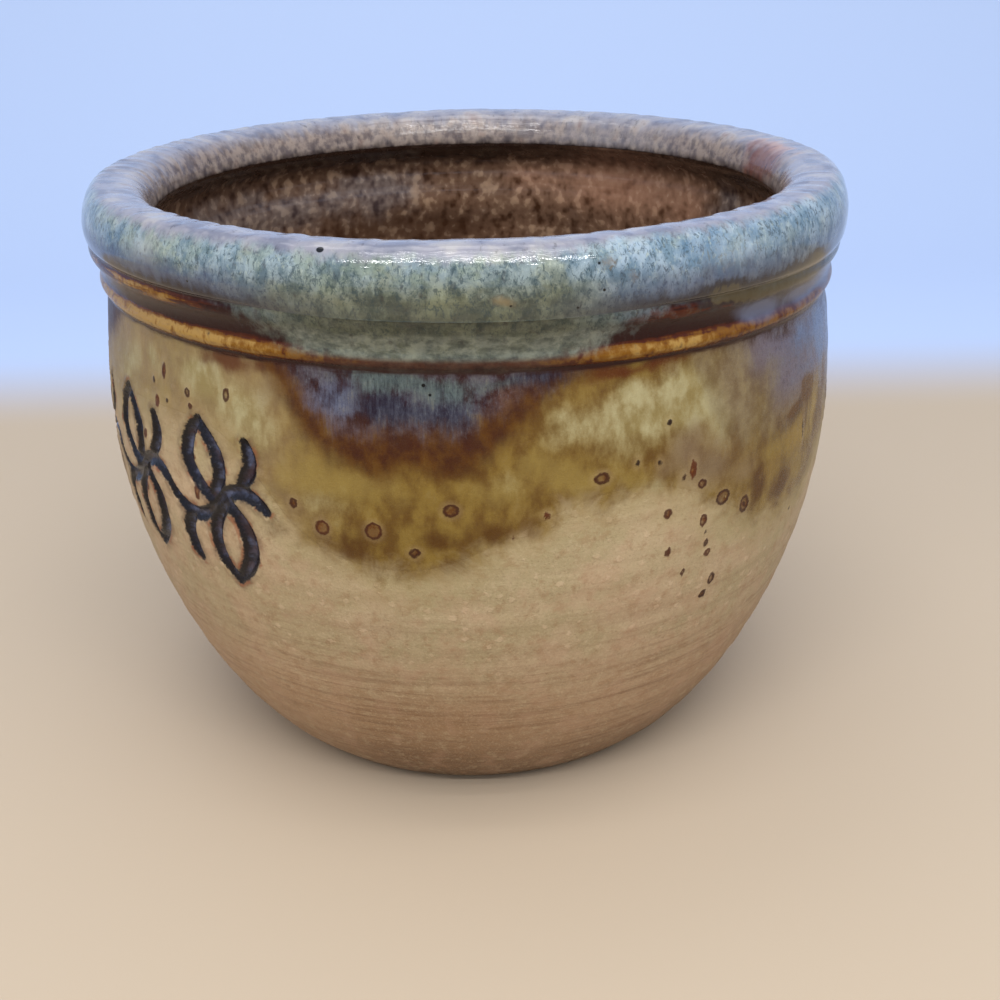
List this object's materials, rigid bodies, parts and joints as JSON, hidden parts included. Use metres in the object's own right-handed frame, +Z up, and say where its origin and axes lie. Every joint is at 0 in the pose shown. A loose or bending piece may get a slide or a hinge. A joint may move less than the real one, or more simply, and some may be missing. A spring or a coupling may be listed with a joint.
{
  "type": "planter",
  "caption": "Hand-thrown stoneware planter: bowl-shaped belly, two cordons, thick rolled rim, glazed outside above the belly and inside, with a drain hole in the recessed foot.",
  "frame": {"origin": "centre of the foot, on the surface that the pot stands on", "axes": "+Z up along the pot's axis of revolution; -Y is the side that faces the camera"},
  "size_m": [0.22, 0.22, 0.1702],
  "materials": {
    "bare_stoneware": "matt fired clay with throwing lines",
    "shoulder_glaze": "glossy amber and olive ash glaze with iron spots",
    "rim_glaze": "glossy mottled blue-green glaze",
    "liner_glaze": "glossy mottled dark brown glaze"
  },
  "bodies": {
    "root": {"stoneware_body": "bare_stoneware", "shoulder_glaze": "shoulder_glaze", "rim_glaze": "rim_glaze", "liner_glaze": "liner_glaze"}
  },
  "joints": []
}
